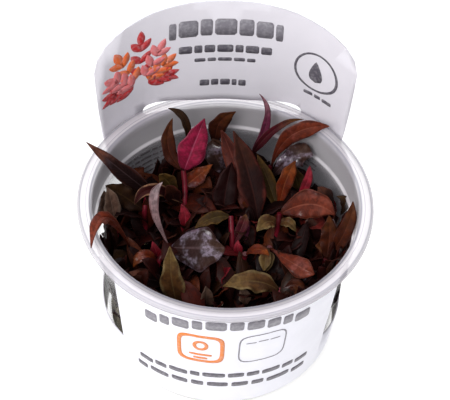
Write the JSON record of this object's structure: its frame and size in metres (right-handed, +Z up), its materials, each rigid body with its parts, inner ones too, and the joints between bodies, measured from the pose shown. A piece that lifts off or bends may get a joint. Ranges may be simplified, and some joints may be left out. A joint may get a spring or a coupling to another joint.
{
  "type": "alternanthera reineckii aquarium plants in a nursery cup",
  "caption": "Clear plastic nursery cup of red-leaved aquarium plants on nutrient gel, in a white card sleeve with open sides and a raised back tab.",
  "frame": {"origin": "middle of the cup's flat base, on the surface that it stands on", "axes": "+Z up through the mouth, +Y to the card's back tab, +X to the right as seen from the front panel"},
  "size_m": [0.1, 0.1023, 0.108],
  "materials": {
    "clear_plastic": "clear, smooth, moulded",
    "white_card": null,
    "nutrient_gel": "soft clear gel, wet",
    "undergrowth": "dense dark red foliage",
    "stem": "smooth, juicy, pink to crimson",
    "magenta_leaf": "waxy, magenta to crimson",
    "terracotta_leaf": "waxy, terracotta to orange",
    "brown_leaf": "waxy, red-brown, damp in places",
    "olive_leaf": "waxy, olive to tan"
  },
  "bodies": {
    "root": {"cup": "clear_plastic", "card_sleeve": "white_card", "nutrient_gel": "nutrient_gel", "undergrowth": "undergrowth", "stem_magenta": "stem", "leaf_magenta_1": "magenta_leaf", "leaf_magenta_2": "brown_leaf", "leaf_magenta_3": "terracotta_leaf", "leaf_magenta_4": "brown_leaf", "stem_back_left": "stem", "leaf_back_left_1": "brown_leaf", "stem_back": "stem", "leaf_back_1": "brown_leaf", "leaf_back_2": "brown_leaf", "stem_centre": "stem", "leaf_centre_1": "brown_leaf", "leaf_centre_2": "terracotta_leaf", "stem_back_middle": "stem", "leaf_back_middle_1": "magenta_leaf", "leaf_back_middle_2": "magenta_leaf", "stem_back_right": "stem", "leaf_back_right_1": "terracotta_leaf", "leaf_back_right_2": "brown_leaf", "stem_right": "stem", "leaf_right_1": "terracotta_leaf", "leaf_right_2": "olive_leaf", "leaf_right_3": "magenta_leaf", "stem_right_front": "stem", "leaf_right_front_1": "terracotta_leaf", "leaf_right_front_2": "olive_leaf", "leaf_right_front_3": "olive_leaf", "stem_left": "stem", "leaf_left_1": "terracotta_leaf", "leaf_left_2": "olive_leaf", "stem_far_left": "stem", "leaf_far_left_1": "olive_leaf", "stem_left_front": "stem", "leaf_left_front_1": "terracotta_leaf", "stem_left_middle": "stem", "leaf_left_middle_1": "terracotta_leaf", "leaf_left_middle_2": "magenta_leaf", "leaf_left_middle_3": "brown_leaf", "stem_front_left": "stem", "leaf_front_left_1": "olive_leaf", "stem_front": "stem", "leaf_front_1": "olive_leaf", "stem_middle": "stem", "leaf_middle_1": "olive_leaf", "leaf_middle_2": "magenta_leaf", "stem_middle_front": "stem", "leaf_middle_front_1": "terracotta_leaf", "stem_right_middle": "stem", "leaf_right_middle_1": "terracotta_leaf", "leaf_right_middle_2": "olive_leaf", "stem_front_right": "stem", "leaf_front_right_1": "olive_leaf", "leaf_front_right_2": "brown_leaf", "stem_far_right": "stem", "leaf_far_right_1": "brown_leaf", "leaf_far_right_2": "brown_leaf"}
  },
  "joints": []
}
